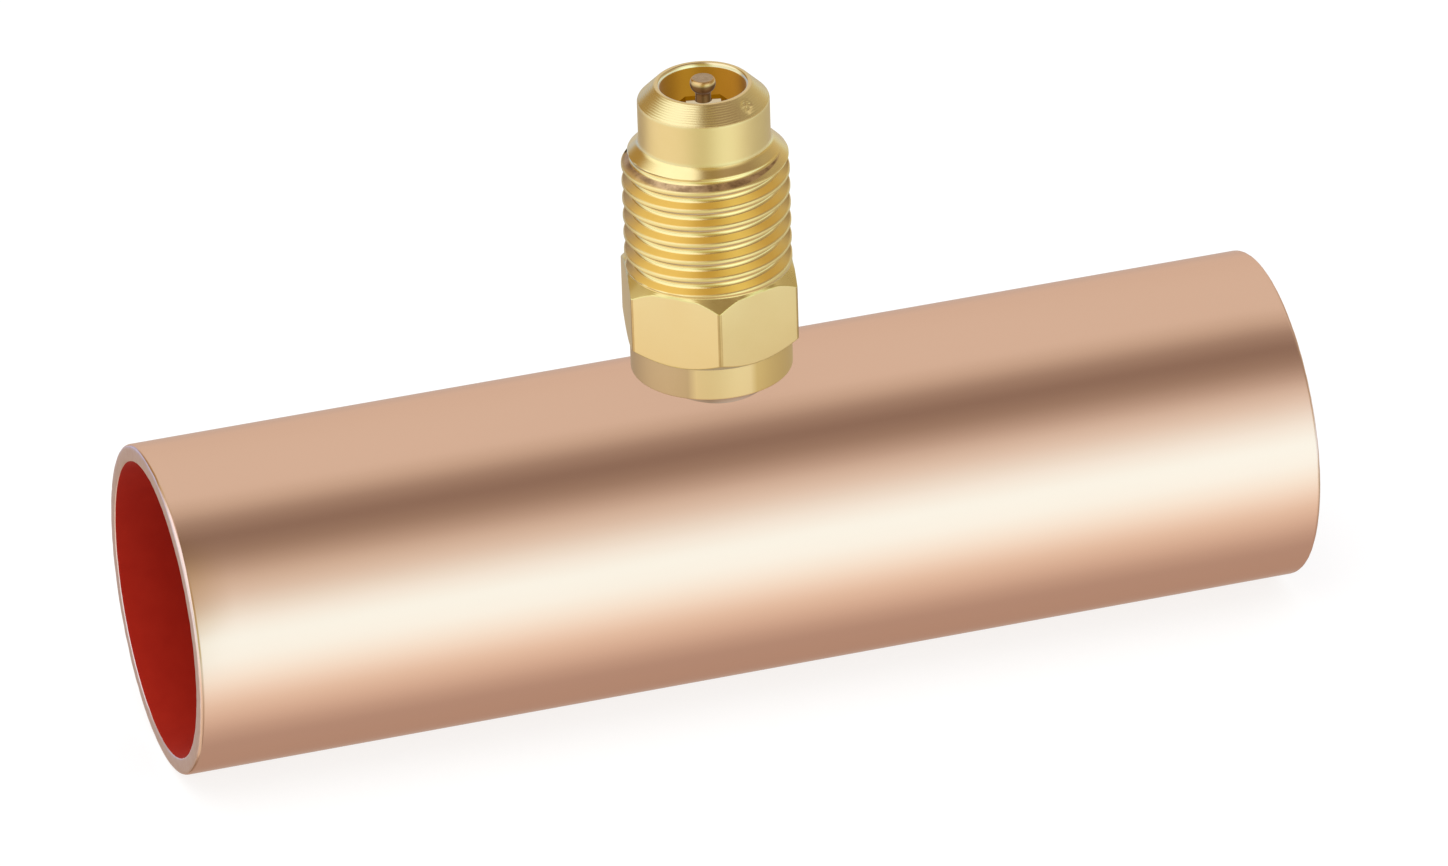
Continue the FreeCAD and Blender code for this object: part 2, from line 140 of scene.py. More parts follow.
surround = bpy.data.worlds.new("soft_surround")
surround.use_nodes = True
bpy.context.scene.world = surround
sky = surround.node_tree
sky.nodes.clear()
direction = add_node(sky, "SeparateXYZ", _0=add_node(sky, "TexCoord").outputs["Generated"])
toward_x, toward_y, toward_z = direction.outputs
# Angle round the tube's axis: 0 is level in front, 90 overhead, 180 level behind
screen_angle = calculate(sky, "ARCTAN2", toward_z, calculate(sky, "MULTIPLY", toward_y, -1.0))
turn = calculate(sky, "MULTIPLY_ADD", screen_angle, 0.5 / math.pi, 0.5)
# Half of what the metal mirrors, since a ramp's colours end at 1: the light's strength doubles it
bands = ramp(sky, turn, round_a_turn(
    (-180, (0.35, 0.33, 0.31)),
    (-125, (0.25, 0.205, 0.18)),
    (-86, (0.25, 0.205, 0.185)),
    (-73, (0.295, 0.25, 0.225)),
    (-59, (0.375, 0.335, 0.305)),
    (-47, (0.435, 0.415, 0.385)),
    (-36, (0.49, 0.52, 0.52)),
    (-25, (0.525, 0.635, 0.675)),
    (-12, (0.54, 0.73, 0.83)),
    (2, (0.54, 0.75, 0.865)),
    (14, (0.51, 0.655, 0.73)),
    (32, (0.42, 0.445, 0.45)),
    (41, (0.36, 0.355, 0.34)),
    (50, (0.26, 0.235, 0.215)),
    (60, (0.175, 0.145, 0.125)),
    (72, (0.135, 0.105, 0.09)),
    (84, (0.19, 0.16, 0.14)),
    (95, (0.305, 0.28, 0.25)),
    (106, (0.365, 0.345, 0.32)),
    (180, (0.365, 0.345, 0.32)),
))
# Heading round the valve: 0 is straight in front, and negative is to the left. Overhead the
# screens' edges lean to the right.
heading = calculate(sky, "ARCTAN2", toward_x, calculate(sky, "MULTIPLY", toward_y, -1.0))
heading = calculate(sky, "MULTIPLY_ADD", calculate(sky, "MAXIMUM", toward_z, 0.0), -0.3, heading)
heading_share = calculate(sky, "MULTIPLY_ADD", heading, 0.5 / math.pi, 0.5)
height_share = calculate(sky, "MULTIPLY_ADD", toward_z, 0.5, 0.5)
# Gaps on both sides of the left screen
gap_share = ramp(sky, heading_share, round_a_turn(
    (-178, 0.0), (-160, 1.0), (-139, 1.0), (-120, 0.0), (-54, 0.0), (-30, 1.0), (-10, 1.0), (8, 0.0),
))
gap_shade = ramp(sky, height_share, [
    (0.0, (0.64, 0.60, 0.52)),
    (0.36, (0.64, 0.60, 0.52)),
    (0.46, (0.52, 0.385, 0.175)),
    (0.75, (0.52, 0.385, 0.175)),
    (0.90, (0.84, 0.80, 0.56)),
    (1.0, (0.76, 0.74, 0.56)),
])
reflected = mix(sky, gap_share, bands, gap_shade, "MULTIPLY")
left_share = ramp(sky, heading_share, round_a_turn((-144, 0.0), (-120, 1.0), (-54, 1.0), (-38, 0.0)))
left_screen = ramp(sky, height_share, [
    (0.0, (0.36, 0.33, 0.29)),
    (0.13, (0.40, 0.37, 0.33)),
    (0.25, (0.47, 0.45, 0.42)),
    (0.34, (0.52, 0.56, 0.58)),
    (0.45, (0.46, 0.57, 0.72)),
    (0.50, (0.43, 0.54, 0.68)),
    (0.54, (0.37, 0.44, 0.51)),
    (0.60, (0.50, 0.59, 0.68)),
    (0.65, (0.55, 0.64, 0.76)),
    (0.94, (0.58, 0.64, 0.80)),
    (0.965, (0.40, 0.37, 0.36)),
    (1.0, (0.28, 0.24, 0.21)),
])
reflected = mix(sky, left_share, reflected, left_screen)
right_share = add_node(
    sky, "MapRange", {"interpolation_type": "SMOOTHSTEP"}, _0=toward_x, _1=0.5, _2=0.97,
).outputs[0]
right_side = ramp(sky, height_share, [
    (0.0, (0.22, 0.21, 0.20)),
    (0.27, (0.25, 0.26, 0.22)),
    (0.33, (0.28, 0.29, 0.26)),
    (0.39, (0.42, 0.53, 0.66)),
    (0.44, (0.42, 0.55, 0.74)),
    (0.49, (0.34, 0.43, 0.44)),
    (0.53, (0.27, 0.23, 0.14)),
    (0.6, (0.26, 0.22, 0.15)),
    (0.7, (0.20, 0.18, 0.15)),
    (1.0, (0.17, 0.16, 0.14)),
])
reflected = mix(sky, right_share, reflected, right_side)
# A bluish wall behind to the left, from the table's edge up to eye level
wall_heading = ramp(sky, heading_share, round_a_turn((-179, 0.0), (-168, 1.0), (-140, 1.0), (-128, 0.0)))
wall_height = ramp(sky, height_share, [(0.32, 0.0), (0.38, 1.0), (0.48, 1.0), (0.54, 0.0)])
wall_share = calculate(sky, "MULTIPLY", wall_heading, wall_height)
reflected = mix(sky, wall_share, reflected, (0.27, 0.34, 0.56))
reflected_light = add_node(sky, "Background", Color=reflected, Strength=2.03)
plain_light = add_node(sky, "Background", Color=(1.0, 1.0, 1.0, 1.0), Strength=0.8)
white_ground = add_node(sky, "Background", Color=(1.0, 1.0, 1.0, 1.0), Strength=1.0)
rays = add_node(sky, "LightPath")
mirrored = calculate(sky, "MAXIMUM", rays.outputs["Is Glossy Ray"], rays.outputs["Is Transmission Ray"])
lit = add_node(sky, "MixShader", _0=mirrored, _1=plain_light.outputs[0], _2=reflected_light.outputs[0])
seen = add_node(
    sky, "MixShader", _0=rays.outputs["Is Camera Ray"], _1=lit.outputs[0], _2=white_ground.outputs[0],
)
add_node(sky, "OutputWorld", Surface=seen.outputs[0])

softbox_light = bpy.data.lights.new("ceiling_softbox", "AREA")
softbox_light.shape = "DISK"
softbox_light.size = 0.5
softbox_light.energy = 1.2
ceiling_softbox = bpy.data.objects.new("ceiling_softbox", softbox_light)
ceiling_softbox.location = (-0.15, -0.25, 0.6)
ceiling_softbox.rotation_euler = (-ceiling_softbox.location).to_track_quat("-Z", "Y").to_euler()
ceiling_softbox.visible_glossy = False
bpy.context.scene.collection.objects.link(ceiling_softbox)


def new_object(name, points, faces):
    """Make a mesh object out of points and the faces between them."""
    mesh = bpy.data.meshes.new(name)
    mesh.from_pydata([tuple(point) for point in points], [], faces)
    mesh.update()
    made = bpy.data.objects.new(name, mesh)
    bpy.context.scene.collection.objects.link(made)
    return made


table_half_width = 3.0
table_height = solid_box[0].z - 0.02 * mm
table_top = new_object("table_top", [
    (-table_half_width, -table_half_width, table_height),
    (table_half_width, -table_half_width, table_height),
    (table_half_width, table_half_width, table_height),
    (-table_half_width, table_half_width, table_height),
], [(0, 1, 2, 3)])
table_top.visible_glossy = False
white_table = bpy.data.materials.new("white_table")
white_table.use_nodes = True
tree = white_table.node_tree
tree.nodes.clear()
matt = add_node(tree, "BsdfDiffuse", Color=(0.9, 0.9, 0.9, 1.0))
# The camera sees the table nearly as white as the ground, with the fitting's soft shadow on it
dim = add_node(tree, "BsdfDiffuse", Color=(0.3, 0.3, 0.3, 1.0))
glow = add_node(tree, "Emission", Color=(1.0, 1.0, 1.0, 1.0), Strength=0.78)
camera_side = add_node(tree, "AddShader", _0=dim.outputs[0], _1=glow.outputs[0])
shown = add_node(
    tree, "MixShader", _0=add_node(tree, "LightPath").outputs["Is Camera Ray"],
    _1=matt.outputs[0], _2=camera_side.outputs[0],
)
add_node(tree, "OutputMaterial", Surface=shown.outputs[0])
table_top.data.materials.append(white_table)


# The run: hard drawn 7/8 in refrigeration tube, copper, sawn square and lightly filed at both
# ends. Its outside is bright from cleaning, and its inside is a matt deep red.
tube_radius = 11.1125 * mm
tube_bore_radius = 9.9725 * mm
tube_half_length = 39.0 * mm
branch_hole_radius = 4.0 * mm
end_rounding = 0.3 * mm
inner_end_rounding = 0.12 * mm
end_burr = 0.03 * mm
burred_length = 0.2 * mm
filed_length = 0.06 * mm
drill_bottom = 6.0 * mm
drill_top = 14.0 * mm


def rounded_corner(before, corner, after, radius, steps=5, reach_after=0.0):
    """Points of a small arc, nearly, that takes the place of a corner of an outline."""
    before, corner, after = Vector(before), Vector(corner), Vector(after)
    start = corner + (before - corner).normalized() * radius
    finish = corner + (after - corner).normalized() * (reach_after or radius)
    points = []
    for step in range(steps + 1):
        share = step / steps
        points.append(start * (1 - share) ** 2 + corner * 2 * share * (1 - share) + finish * share**2)
    return [tuple(point) for point in points]


def skin_faces(rows, columns, closed=False):
    """Four-cornered faces between rows of points that each run once round an axis."""
    faces = []
    for row in range(rows if closed else rows - 1):
        below, above = row * columns, (row + 1) % rows * columns
        for column in range(columns):
            beside = (column + 1) % columns
            faces.append((below + column, below + beside, above + beside, above + column))
    return faces


def end_faces(rows, columns):
    """The two flat faces that close the first and the last row of points."""
    last = (rows - 1) * columns
    return [tuple(reversed(range(columns))), tuple(range(last, last + columns))]


def turned_points(outline, columns):
    """Points of an outline, given by radius and height, spun round the valve's upright axis."""
    points = []
    for out, height in outline:
        for column in range(columns):
            angle = math.tau * column / columns
            points.append((math.cos(angle) * out, math.sin(angle) * out, height))
    return points


def add_materials(piece, *materials):
    """Dress a piece in its materials, the first of them on every face."""
    piece.data.materials.clear()
    for material in materials:
        piece.data.materials.append(material)


def shade_smooth(piece, sharp_degrees=40.0):
    """Shade a piece's curves as smooth, with an edge wherever its faces turn more sharply."""
    piece.data.polygons.foreach_set("use_smooth", [True] * len(piece.data.polygons))
    piece.data.set_sharp_from_angle(angle=math.radians(sharp_degrees))


tube_columns = 192
left_end = rounded_corner(
    (-tube_half_length, tube_bore_radius), (-tube_half_length, tube_radius), (0.0, tube_radius),
    end_rounding,
)
right_end = [(-along, out) for along, out in reversed(left_end)]
left_inner = rounded_corner(
    (0.0, tube_bore_radius), (-tube_half_length, tube_bore_radius), (-tube_half_length, tube_radius),
    inner_end_rounding, 3,
)
right_inner = [(-along, out) for along, out in reversed(left_inner)]
outside = [(along * mm, tube_radius) for along in range(-36, 37, 3)]
inside = [(-along, tube_bore_radius) for along, _ in outside]
outline = left_end + outside + right_end + right_inner + inside + left_inner
points = []
for along, out in outline:
    for column in range(tube_columns):
        angle = math.tau * column / tube_columns
        spot = Vector((along, -math.cos(angle) * out, math.sin(angle) * out))
        if abs(along) > tube_half_length - burred_length:
            roughness = noise.noise(spot * 900.0) + 0.5 * noise.noise(spot * 2600.0)
            spot.x -= math.copysign(end_burr * abs(roughness), along)
        points.append(spot)
copper_run = new_object("copper_run", points, skin_faces(len(outline), tube_columns, closed=True))

# The branch hole is drilled straight down through the crown
drill_columns = 96
drill = new_object(
    "branch_drill",
    turned_points([(branch_hole_radius, drill_bottom), (branch_hole_radius, drill_top)], drill_columns),
    skin_faces(2, drill_columns) + end_faces(2, drill_columns),
)
cut = copper_run.modifiers.new("branch_hole", "BOOLEAN")
cut.object = drill
cut.operation = "DIFFERENCE"
cut.solver = "EXACT"
bpy.context.view_layer.update()
drilled = bpy.data.meshes.new_from_object(copper_run.evaluated_get(bpy.context.evaluated_depsgraph_get()))
copper_run.modifiers.clear()
copper_run.data = drilled
bpy.data.objects.remove(drill)
shade_smooth(copper_run)


def new_material(name):
    """A material with a Principled shader, and the object's own coordinates in millimetres."""
    material = bpy.data.materials.new(name)
    material.use_nodes = True
    tree = material.node_tree
    tree.nodes.clear()
    shader = add_node(tree, "BsdfPrincipled")
    add_node(tree, "OutputMaterial", Surface=shader.outputs[0])
    place = add_node(tree, "TexCoord").outputs["Object"]
    millimetres = add_node(tree, "VectorMath", {"operation": "SCALE"}, Vector=place, Scale=1000.0)
    return material, tree, shader, millimetres.outputs[0]


def speckle(tree, place, size, stretch=(1.0, 1.0, 1.0), detail=3.0):
    """Noise with features about this many millimetres across, drawn out along an axis."""
    spread = add_node(tree, "Mapping", Vector=place, Scale=tuple(1.0 / amount for amount in stretch))
    noise_node = add_node(tree, "TexNoise", Vector=spread.outputs[0], Scale=1.0 / size, Detail=detail)
    return noise_node.outputs["Fac"]


def between(tree, share, low, high):
    """Turn a 0 to 1 value into a value from low to high."""
    return add_node(tree, "MapRange", _0=share, _3=low, _4=high).outputs[0]


def rising(tree, value, start, finish):
    """0 up to the start, 1 from the finish on, and an even rise between them."""
    return add_node(tree, "MapRange", _0=value, _1=start, _2=finish).outputs[0]


def raise_marks(tree, shader, height, strength, depth):
    """Let a pattern stand out as fine relief, this many metres deep at full strength."""
    marks = add_node(tree, "Bump", Strength=strength, Distance=depth, Height=height)
    tree.links.new(marks.outputs[0], shader.inputs["Normal"])


def drawn_copper():
    """Bright cleaned copper with faint lines along the draw, and a slight cloud of tarnish."""
    material, tree, shader, place = new_material("drawn_copper")
    clouds = speckle(tree, place, 9.0, (3.0, 1.0, 1.0))
    lines = speckle(tree, place, 0.12, (60.0, 1.0, 1.0), 2.0)
    colour = mix(tree, clouds, (0.885, 0.60, 0.45), (0.915, 0.62, 0.47))
    tree.links.new(colour, shader.inputs["Base Color"])
    shader.inputs["Metallic"].default_value = 1.0
    shader.inputs["Specular Tint"].default_value = (0.93, 0.82, 0.755, 1.0)
    tree.links.new(between(tree, lines, 0.13, 0.19), shader.inputs["Roughness"])
    raise_marks(tree, shader, lines, 0.03, 0.02 * mm)
    return material


def matt_red_bore():
    """Matt deep red inside the tube, slightly mottled."""
    material, tree, shader, place = new_material("matt_red_bore")
    blotches = speckle(tree, place, 1.6)
    grain = speckle(tree, place, 0.15)
    colour = mix(tree, blotches, (0.42, 0.013, 0.004), (0.52, 0.024, 0.008))
    tree.links.new(colour, shader.inputs["Base Color"])
    shader.inputs["Roughness"].default_value = 0.75
    shader.inputs["Specular IOR Level"].default_value = 0.2
    raise_marks(tree, shader, grain, 0.2, 0.03 * mm)
    return material


def filed_copper():
    """The sawn and filed end: paler and pinker, with small chatter marks and nicks."""
    material, tree, shader, place = new_material("filed_copper")
    patches = speckle(tree, place, 0.6)
    nicks = speckle(tree, place, 0.16)
    colour = mix(tree, patches, (0.88, 0.58, 0.47), (1.0, 0.78, 0.68))
    tree.links.new(colour, shader.inputs["Base Color"])
    shader.inputs["Metallic"].default_value = 1.0
    tree.links.new(between(tree, nicks, 0.25, 0.45), shader.inputs["Roughness"])
    raise_marks(tree, shader, nicks, 0.35, 0.04 * mm)
    return material


add_materials(copper_run, drawn_copper(), matt_red_bore(), filed_copper())
on_bore, on_cut_end = 1, 2
for face in copper_run.data.polygons:
    centre = face.center
    if abs(centre.x) > tube_half_length - filed_length:
        face.material_index = on_cut_end
    elif math.hypot(centre.y, centre.z) < tube_bore_radius + 0.2 * mm:
        face.material_index = on_bore
copper_run.visible_glossy = False
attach(copper_run, "fitting")
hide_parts("run_tube")


# The valve body, lower part: drawn hexagon brass bar, turned down below to a round collar and
# a spigot that stands in the tube's branch hole, and chamfered above and below the hexagon.
spigot_end = 10.1225 * mm
shoulder_height = 11.2125 * mm
hexagon_bottom = 13.5025 * mm
hexagon_top = 18.8525 * mm
flat_top = 18.64 * mm
foot_height = 18.8 * mm
foot_radius = 5.51 * mm
collar_radius = 5.4 * mm
spigot_radius = 3.95 * mm
outlet_radius = 1.25 * mm
ledge_radius = 5.5 * mm
thread_radius = 5.58 * mm
hexagon_apothem = 5.5565 * mm
hexagon_corner_angle = math.radians(18.7)
hexagon_corner_rounding = 0.24 * mm
lower_chamfer_slope = math.tan(math.radians(38.0))
collar_rounding = 0.12 * mm
ledge_rounding = 0.05 * mm
flat_rounding = 0.07 * mm
dark_corner_angle = math.radians(1.2)
# Middle of the collar's painted pale patch, towards the front
painted_patch_middle = -0.75 * mm


def angle_off_corner(angle):
    """Angle between one direction and the hexagon's nearest corner."""
    return abs((angle - hexagon_corner_angle + math.pi / 6) % (math.pi / 3) - math.pi / 6)


def hexagon_reach(angle):
    """How far the bar reaches in one direction, with its six corners slightly rounded."""
    off_corner = angle_off_corner(angle)
    middle = (hexagon_apothem - hexagon_corner_rounding) / math.cos(math.pi / 6)
    arc_end = math.atan2(
        hexagon_corner_rounding * 0.5, middle + hexagon_corner_rounding * math.cos(math.pi / 6),
    )
    if off_corner < arc_end:
        across = middle * math.sin(off_corner)
        return middle * math.cos(off_corner) + math.sqrt(hexagon_corner_rounding**2 - across**2)
    return hexagon_apothem / math.cos(math.pi / 6 - off_corner)


def eased(outline, easings):
    """An outline whose named corners are rounded: easings gives corner number and radius."""
    made = []
    for number, corner in enumerate(outline):
        if number in easings:
            made += rounded_corner(outline[number - 1], corner, outline[number + 1], easings[number], 4)
        else:
            made.append(corner)
    return made


def in_rows(columns):
    """Points gathered in upright columns, put into rows that each run once round the axis."""
    return [column[row] for row in range(len(columns[0])) for column in columns]


# Directions round the bar, close together where a corner is rounded
corner_step_degrees = 0.45
steps_per_flat = 36
hexagon_angles = set()
for number in range(6):
    corner = hexagon_corner_angle + number * math.pi / 3
    for step in range(-3, 4):
        hexagon_angles.add(round((corner + math.radians(step * corner_step_degrees)) % math.tau, 6))
    for step in range(2, steps_per_flat - 1):
        hexagon_angles.add(round((corner + math.radians(step * 60 / steps_per_flat)) % math.tau, 6))
columns = []
for angle in sorted(hexagon_angles):
    reach = hexagon_reach(angle)
    lower_end = hexagon_bottom + (reach - ledge_radius) * lower_chamfer_slope
    upper_end = min(hexagon_top - (reach - thread_radius), flat_top)
    outline = eased([
        (outlet_radius, spigot_end),
        (spigot_radius, spigot_end),
        (spigot_radius, shoulder_height),
        (collar_radius, shoulder_height),
        (collar_radius, hexagon_bottom),
        (ledge_radius, hexagon_bottom),
        (reach, lower_end),
        (reach, (lower_end + upper_end) / 2),
        (reach, upper_end),
        (foot_radius, foot_height),
    ], {3: collar_rounding, 5: ledge_rounding, 6: flat_rounding, 8: flat_rounding})
    columns.append([(math.cos(angle) * out, math.sin(angle) * out, height) for out, height in outline])
hexagon_part = new_object("valve_hexagon", in_rows(columns), skin_faces(len(columns[0]), len(columns)))
shade_smooth(hexagon_part, 55.0)


def satin_brass(name, dark, light, roughness, ring_pitch=0.0, ring_strength=0.0, edge=(0.88, 0.94, 1.0)):
    """Yellow brass: slight clouding, fine grain, and on turned faces the tool's fine rings."""
    material, tree, shader, place = new_material(name)
    clouds = speckle(tree, place, 1.3)
    grain = speckle(tree, place, 0.09)
    mixed = calculate(tree, "MULTIPLY_ADD", grain, 0.35, calculate(tree, "MULTIPLY", clouds, 0.65))
    tree.links.new(mix(tree, mixed, dark, light), shader.inputs["Base Color"])
    shader.inputs["Metallic"].default_value = 1.0
    shader.inputs["Specular Tint"].default_value = (*edge, 1.0)
    low, high = roughness
    tree.links.new(between(tree, mixed, low, high), shader.inputs["Roughness"])
    relief = calculate(tree, "MULTIPLY", grain, 0.5)
    if ring_pitch:
        height = add_node(tree, "SeparateXYZ", _0=place).outputs[2]
        wander = calculate(tree, "MULTIPLY_ADD", clouds, 0.15, height)
        rings = calculate(tree, "SINE", calculate(tree, "MULTIPLY", wander, math.tau / ring_pitch))
        relief = calculate(tree, "MULTIPLY_ADD", rings, ring_strength, relief)
    raise_marks(tree, shader, relief, 0.25, 0.01 * mm)
    return material


def collar_painted_reflection():
    """The turned collar, with painted reflection: a paler patch in front and browner sides."""
    material = satin_brass(
        "turned_collar", (0.96, 0.69, 0.34), (0.99, 0.725, 0.365), (0.52, 0.60), 0.11, 0.3,
    )
    tree = material.node_tree
    shader = tree.nodes["Principled BSDF"]
    paler = shader.inputs["Base Color"].links[0].from_socket
    across = add_node(tree, "SeparateXYZ", _0=add_node(tree, "TexCoord").outputs["Object"]).outputs[0]
    # Painted reflection: pale in a patch in front, brown to either side, darker on the left
    off_patch = calculate(tree, "ABSOLUTE", calculate(tree, "ADD", across, -painted_patch_middle))
    painted_brown_share = rising(tree, off_patch, 1.8 * mm, 2.3 * mm)
    brown = mix(tree, rising(tree, across, -1.0 * mm, 1.0 * mm), (0.71, 0.48, 0.25), (0.83, 0.56, 0.22))
    tree.links.new(mix(tree, painted_brown_share, paler, brown), shader.inputs["Base Color"])
    return material


turned_bevel = satin_brass("turned_bevel", (0.84, 0.64, 0.22), (0.93, 0.71, 0.28), (0.24, 0.34), 0.09, 0.6)
drawn_brass = satin_brass("drawn_brass", (0.92, 0.665, 0.295), (0.97, 0.71, 0.345), (0.36, 0.48))
# The hexagon's upright corners are a darker brown line
dark_hexagon_corner = satin_brass("dark_hexagon_corner", (0.52, 0.32, 0.12), (0.86, 0.57, 0.24), (0.30, 0.42))
add_materials(hexagon_part, turned_bevel, drawn_brass, collar_painted_reflection(), dark_hexagon_corner)
on_flat, on_collar, on_corner = 1, 2, 3
for face in hexagon_part.data.polygons:
    centre = face.center
    off_corner = angle_off_corner(math.atan2(centre.y, centre.x))
    upright_face = abs(face.normal.z) < 0.12
    if centre.z < hexagon_bottom:
        face.material_index = on_collar
    elif upright_face and centre.z > hexagon_bottom + 0.1 * mm:
        face.material_index = on_corner if off_corner < dark_corner_angle else on_flat
hexagon_part.visible_glossy = False
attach(hexagon_part, "fitting")
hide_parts("valve_body")


# The valve body, upper part: the same bar turned round, with a 7/16-20 right-hand thread cut on
# it up into a sloping shoulder, a plain nose with a 45 degree flare cone, and a bored mouth.
thread_pitch = 1.27 * mm
thread_start = 19.98 * mm
groove_count = 9
groove_half_angle = math.radians(30.0)
groove_half_width = 0.525 * mm
groove_apex_depth = groove_half_width / math.tan(groove_half_angle)
root_radius = 0.27 * mm
crest_softness = 0.1 * mm
groove_edge_softness = 0.04 * mm
thread_row_spacing = 0.042 * mm
run_out_rise = 0.907 * mm
foot_end = 19.02 * mm
foot_fade = 0.14 * mm
foot_overlap = 0.06 * mm
nose_radius = 4.376 * mm
nose_foot = 27.9825 * mm
shoulder_slope = math.tan(math.radians(46.0))
shoulder_hollow = 0.2 * mm
shoulder_edge_softness = 0.06 * mm
nose_row_spacing = 0.12 * mm
cone_foot = 30.8565 * mm
cone_foot_rounding = 0.09 * mm
rim_height = 32.0325 * mm
rim_radius = 3.2 * mm
rim_rounding = 0.1 * mm
mouth_lip_width = 0.22 * mm
mouth_lip_depth = 0.42 * mm
mouth_radius = 2.87 * mm
mouth_floor = 29.3325 * mm
core_thread_radius = 2.6 * mm
core_thread_end = 25.4325 * mm
seat_top_radius = 2.3 * mm
chamber_radius = 1.95 * mm
seat_end = 23.4325 * mm
chamber_end = 14.2325 * mm
drill_point_depth = 0.42 * mm
dent_place = Vector((2.02, -3.22, 31.45)) * mm
dent_radius = 0.5 * mm
dent_depth = 0.12 * mm
dent_waves = 0.25 * mm


def soft_larger(first, second, softness):
    """The larger of two sizes, blended over a short stretch where they come close."""
    near = np.maximum(softness - np.abs(first - second), 0.0) / softness
    return np.maximum(first, second) + near * near * softness / 4


def groove_depth(angles, height):
    """How deep the thread is cut at one height, for every direction round the valve."""
    depth = np.zeros_like(angles)
    # Groove -1 runs out over the hexagon
    for groove in range(-1, groove_count):
        middle = thread_start + thread_pitch * (groove + angles / math.tau)
        away = np.abs(height - middle)
        flank = (groove_half_width - away) / math.tan(groove_half_angle)
        root = np.sqrt(np.maximum(root_radius**2 - away**2, 0.0)) + groove_apex_depth - 2.0 * root_radius
        cut = np.where(away < root_radius * math.cos(groove_half_angle), root, flank)
        if groove < 0:
            cut = cut - run_out_rise * np.clip(1.0 - angles / math.pi, 0.0, 1.0)
        depth = np.maximum(depth, soft_larger(cut, np.zeros_like(cut), crest_softness))
    return depth


port_columns = 240
angles = np.arange(port_columns) * math.tau / port_columns
thread_heights = np.arange(foot_height - foot_overlap, nose_foot + shoulder_hollow, thread_row_spacing)
rows = []
for height in thread_heights:
    shoulder = nose_radius + (nose_foot - height) / shoulder_slope
    blank = soft_larger(np.full(port_columns, nose_radius), shoulder, shoulder_hollow)
    blank = -soft_larger(-blank, np.full(port_columns, -thread_radius), shoulder_edge_softness)
    foot_share = np.clip((foot_end - height) / foot_fade, 0.0, 1.0)
    foot_hollow = (thread_radius - foot_radius + 0.02 * mm) * foot_share
    cut = thread_radius - np.maximum(groove_depth(angles, height), foot_hollow)
    rows.append((-soft_larger(-blank, -cut, groove_edge_softness), height))
nose_outline = eased([
    (nose_radius, nose_foot + shoulder_hollow),
    (nose_radius, cone_foot),
    (rim_radius, rim_height),
    *rounded_corner(
        (rim_radius, rim_height), (mouth_radius, rim_height), (mouth_radius, mouth_floor),
        mouth_lip_width, 6, mouth_lip_depth,
    ),
    (mouth_radius, mouth_floor),
    (core_thread_radius, mouth_floor),
    (core_thread_radius, core_thread_end),
    (seat_top_radius, core_thread_end),
    (chamber_radius, seat_end),
    (chamber_radius, chamber_end),
    (outlet_radius, chamber_end - drill_point_depth),
    (outlet_radius, spigot_end),
], {1: cone_foot_rounding, 2: rim_rounding})
for start, finish in zip(nose_outline, nose_outline[1:]):
    steps = max(1, round(math.dist(start, finish) / nose_row_spacing)) if finish[1] > mouth_floor else 1
    for step in range(steps):
        share = step / steps
        out = start[0] * (1 - share) + finish[0] * share
        rows.append((np.full(port_columns, out), start[1] * (1 - share) + finish[1] * share))
rows.append((np.full(port_columns, outlet_radius), spigot_end))
points = []
for out, height in rows:
    points += zip(np.cos(angles) * out, np.sin(angles) * out, np.full(port_columns, height))

# A small dent knocked into the cone, to the right of the front
for number, spot in enumerate(points):
    away = (Vector(spot) - dent_place).length / dent_radius
    if away < 1.0 and math.hypot(spot[0], spot[1]) > rim_radius:
        wave = noise.noise(Vector(spot) * 4200.0)
        sunk = (dent_depth + dent_waves * wave) * (1.0 - away) ** 0.6
        points[number] = tuple(Vector(spot) * (1.0 - sunk / dent_place.length))
valve_port = new_object("valve_port", points, skin_faces(len(rows), port_columns))
shade_smooth(valve_port, 50.0)


